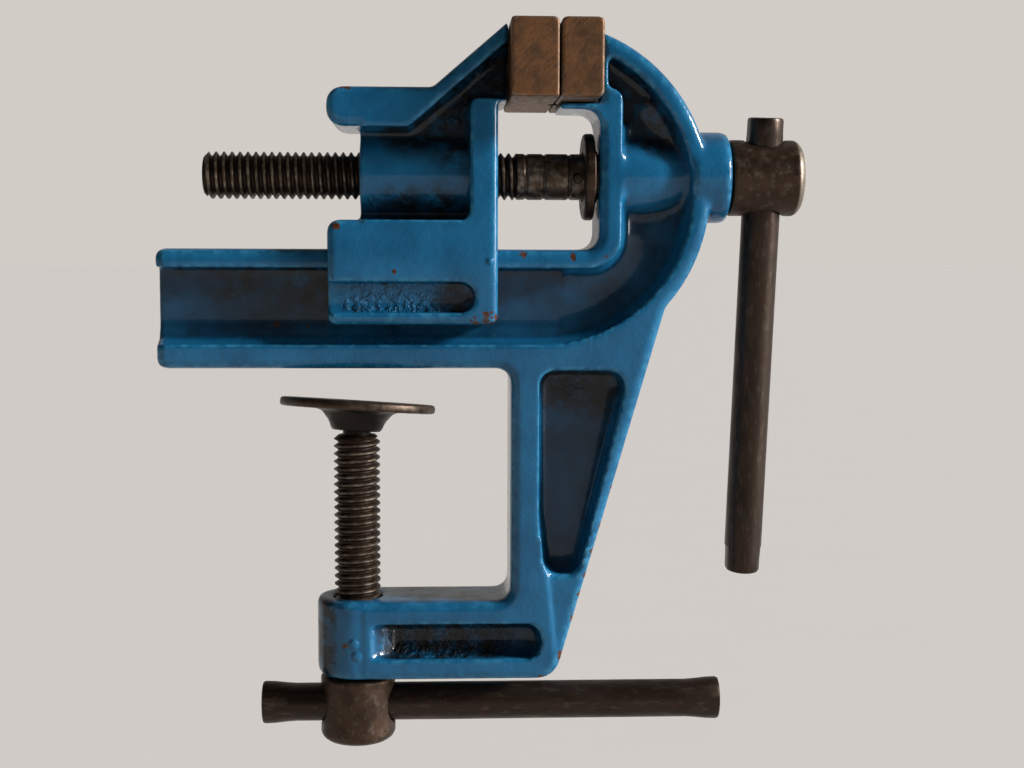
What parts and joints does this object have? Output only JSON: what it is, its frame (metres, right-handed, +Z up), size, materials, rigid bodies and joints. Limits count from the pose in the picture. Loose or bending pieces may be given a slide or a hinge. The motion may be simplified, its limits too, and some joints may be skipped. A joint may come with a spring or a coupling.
{
  "type": "clamp-on bench vise",
  "caption": "Small cast bench vise with a table clamp: a screw slides one steel-faced jaw along a flanged beam, and a swivel pad clamps a table edge.",
  "frame": {"origin": "on the flat underside of the beam, which rests on the table, in the mid-plane and on the clamp screw's axis", "axes": "+Z up as it is clamped to a table, +X along the beam towards the main screw's head, +Y completes the right-handed frame"},
  "size_m": [0.1632, 0.045, 0.1836],
  "materials": {
    "blue_enamel": "worn glossy blue enamel on a cast surface",
    "dark_steel": "turned steel, browned by age",
    "jaw_steel": "coarsely ground steel with a brown patina"
  },
  "bodies": {
    "frame": {"frame_casting": "blue_enamel", "fixed_jaw_block": "jaw_steel", "fixed_jaw_screw_lower": "dark_steel", "fixed_jaw_screw_upper": "dark_steel"},
    "moving_jaw": {"moving_jaw_casting": "blue_enamel", "moving_jaw_block": "jaw_steel", "moving_jaw_screw_lower": "dark_steel", "moving_jaw_screw_upper": "dark_steel"},
    "main_spindle": {"main_screw": "dark_steel", "retaining_washer": "dark_steel", "retaining_pin": "dark_steel"},
    "main_bar": {"main_tommy_bar": "dark_steel"},
    "pad": {"clamp_pad": "dark_steel"},
    "clamp_spindle": {"clamp_screw": "dark_steel"},
    "clamp_bar": {"clamp_tommy_bar": "dark_steel"}
  },
  "joints": [
    {"name": "main_screw_turn", "type": "hinge", "parent": "frame", "child": "main_spindle", "pos_m": [0, 0, 0.0485], "axis": [1, 0, 0], "range_deg": [0, 7200]},
    {"name": "jaw_slide", "type": "slide", "parent": "frame", "child": "moving_jaw", "axis": [-1, 0, 0], "range_m": [0, 0.04]},
    {"name": "main_bar_slide", "type": "slide", "parent": "main_spindle", "child": "main_bar", "axis": [-0.0175, 0.0871, -0.996], "range_m": [-0.09, 0.0008]},
    {"name": "pad_slide", "type": "slide", "parent": "frame", "child": "pad", "axis": [0, 0, -1], "range_m": [0, 0.04]},
    {"name": "clamp_screw_turn", "type": "hinge", "parent": "pad", "child": "clamp_spindle", "pos_m": [0, 0, -0.05], "axis": [0, 0, -1], "range_deg": [0, 7200]},
    {"name": "clamp_bar_slide", "type": "slide", "parent": "clamp_spindle", "child": "clamp_bar", "axis": [1, 0, 0], "range_m": [-0.079, 0.0088]}
  ],
  "couplings": [
    {"joint": "jaw_slide", "follows": "main_screw_turn", "m_per_rad": 0.0003183},
    {"joint": "pad_slide", "follows": "clamp_screw_turn", "m_per_rad": 0.0003183}
  ]
}
